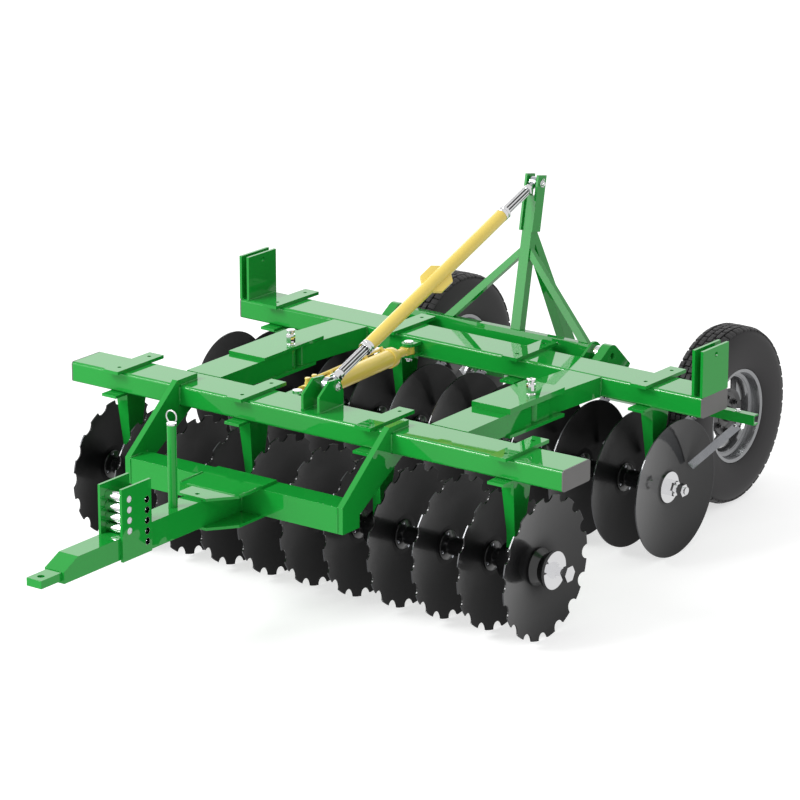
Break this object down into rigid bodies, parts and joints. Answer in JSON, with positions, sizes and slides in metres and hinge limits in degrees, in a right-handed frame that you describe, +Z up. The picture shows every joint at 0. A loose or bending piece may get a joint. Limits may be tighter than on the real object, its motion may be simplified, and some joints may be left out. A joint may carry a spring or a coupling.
{
  "type": "disc harrow",
  "caption": "Trailed offset disc harrow: notched front gang, plain rear gang, hinged beams, angle cylinder, two transport wheels on a rockshaft with mast and turnbuckle.",
  "frame": {"origin": "ground point below the middle of the harrow's box", "axes": "+X along the front gang to the right seen from the front, +Y backwards from the hitch, +Z up"},
  "size_m": [2.8692, 4.017, 1.4767],
  "materials": {
    "green": "glossy green paint",
    "grey_cap": "satin grey paint",
    "disc_steel": "glossy dark coating",
    "casting": "black painted casting",
    "chrome": "bright plated steel",
    "yellow": "satin yellow paint",
    "rod_steel": "turned steel",
    "rim_silver": "satin silver paint",
    "tyre": "black tyre rubber"
  },
  "bodies": {
    "front_frame": {"front_beam": "green", "front_beam_ends": "grey_cap", "front_clamps": "green", "front_standards": "green", "front_bearings": "casting", "cross_tube": "green", "frame_arms": "green", "gusset_plates": "green", "drawbar_tube": "green", "clevis": "green", "tongue": "green", "hitch_bar": "green", "hose_post": "green", "post_ring": "chrome", "front_rails": "green", "left_guide_plates": "green", "right_hinge_plates": "green", "hinge_pin": "chrome", "stop_pin": "chrome", "link_ears": "green", "link_ball": "chrome", "front_ram_lugs": "green", "front_ram_pin": "chrome"},
    "front_gang": {"front_discs": "disc_steel", "front_spools": "casting", "front_gang_shaft": "chrome"},
    "rear_frame": {"rear_beam": "green", "rear_beam_ends": "grey_cap", "rear_clamps": "green", "rear_standards": "green", "rear_bearings": "casting", "rear_end_lugs": "green", "left_rear_rail": "green", "hinge_rail": "green", "rock_brackets": "green", "rear_ram_lugs": "green", "rear_ram_pin": "chrome", "scraper_bar": "green", "scraper_blades": "disc_steel"},
    "rear_gang": {"rear_discs": "disc_steel", "rear_spools": "casting", "rear_gang_shaft": "chrome"},
    "wheel_frame": {"rockshaft": "green", "lift_arms": "green", "axle_beam": "green", "mast": "green", "mast_pin": "chrome", "mast_stays": "green", "back_stay": "green"},
    "left_wheel": {"left_tyre": "tyre", "left_rim": "rim_silver"},
    "right_wheel": {"right_tyre": "tyre", "right_rim": "rim_silver"},
    "ram_body": {"ram_barrel": "yellow"},
    "ram_piston": {"ram_rod": "rod_steel"},
    "link_swivel": {"link_socket": "rod_steel"},
    "link_front": {"link_front_rod": "rod_steel"},
    "link_middle": {"link_tube": "yellow", "link_collars": "chrome"},
    "link_back": {"link_back_rod": "rod_steel"}
  },
  "joints": [
    {"name": "front_gang_turn", "type": "hinge", "parent": "front_frame", "child": "front_gang", "pos_m": [0.1141, -0.3315, 0.305], "axis": [1, 0, 0], "continuous": true},
    {"name": "gang_angle", "type": "hinge", "parent": "front_frame", "child": "rear_frame", "pos_m": [0.7641, 0.2835, 0.727], "axis": [0, 0, 1], "range_deg": [-5, 0]},
    {"name": "rear_gang_turn", "type": "hinge", "parent": "rear_frame", "child": "rear_gang", "pos_m": [0.07493, 0.85907, 0.305], "axis": [0.9997, -0.0248, 0], "continuous": true},
    {"name": "wheel_lift", "type": "hinge", "parent": "rear_frame", "child": "wheel_frame", "pos_m": [0.1441, 1.0885, 0.75], "axis": [1, 0, 0], "range_deg": [-2, 12]},
    {"name": "left_wheel_turn", "type": "hinge", "parent": "wheel_frame", "child": "left_wheel", "pos_m": [-0.5769, 1.6035, 0.405], "axis": [1, 0, 0], "continuous": true},
    {"name": "right_wheel_turn", "type": "hinge", "parent": "wheel_frame", "child": "right_wheel", "pos_m": [0.9231, 1.6035, 0.405], "axis": [1, 0, 0], "continuous": true},
    {"name": "ram_swing", "type": "hinge", "parent": "front_frame", "child": "ram_body", "pos_m": [-0.1359, -0.1615, 0.727], "axis": [0, 0, 1], "range_deg": [-2.7, 0]},
    {"name": "ram_stroke", "type": "slide", "parent": "ram_body", "child": "ram_piston", "axis": [-0.0482, 0.9988, 0], "range_m": [0, 0.08]},
    {"name": "link_swing", "type": "hinge", "parent": "front_frame", "child": "link_swivel", "pos_m": [0.1121, -0.2715, 0.86], "axis": [0.2372, 0, 0.9715], "range_deg": [-3.13, 0]},
    {"name": "link_tilt", "type": "hinge", "parent": "link_swivel", "child": "link_front", "pos_m": [0.1121, -0.2715, 0.86], "axis": [1, 0, 0], "range_deg": [-0.5, 2.5]},
    {"name": "link_reach", "type": "slide", "parent": "link_front", "child": "link_middle", "axis": [0.02, 0.9332, 0.3589], "range_m": [0, 0.051]},
    {"name": "link_thread", "type": "slide", "parent": "link_middle", "child": "link_back", "axis": [0.02, 0.9332, 0.3589], "range_m": [-0.13, 0.022]}
  ],
  "couplings": [
    {"joint": "ram_swing", "follows": "gang_angle", "ratio": 0.5367},
    {"joint": "ram_stroke", "follows": "gang_angle", "m_per_rad": -0.91237},
    {"joint": "link_swing", "follows": "gang_angle", "ratio": 0.6245},
    {"joint": "link_tilt", "follows": "wheel_lift", "ratio": 0.2082},
    {"joint": "link_reach", "follows": "gang_angle", "m_per_rad": -0.58063},
    {"joint": "link_thread", "follows": "wheel_lift", "m_per_rad": -0.61653}
  ]
}
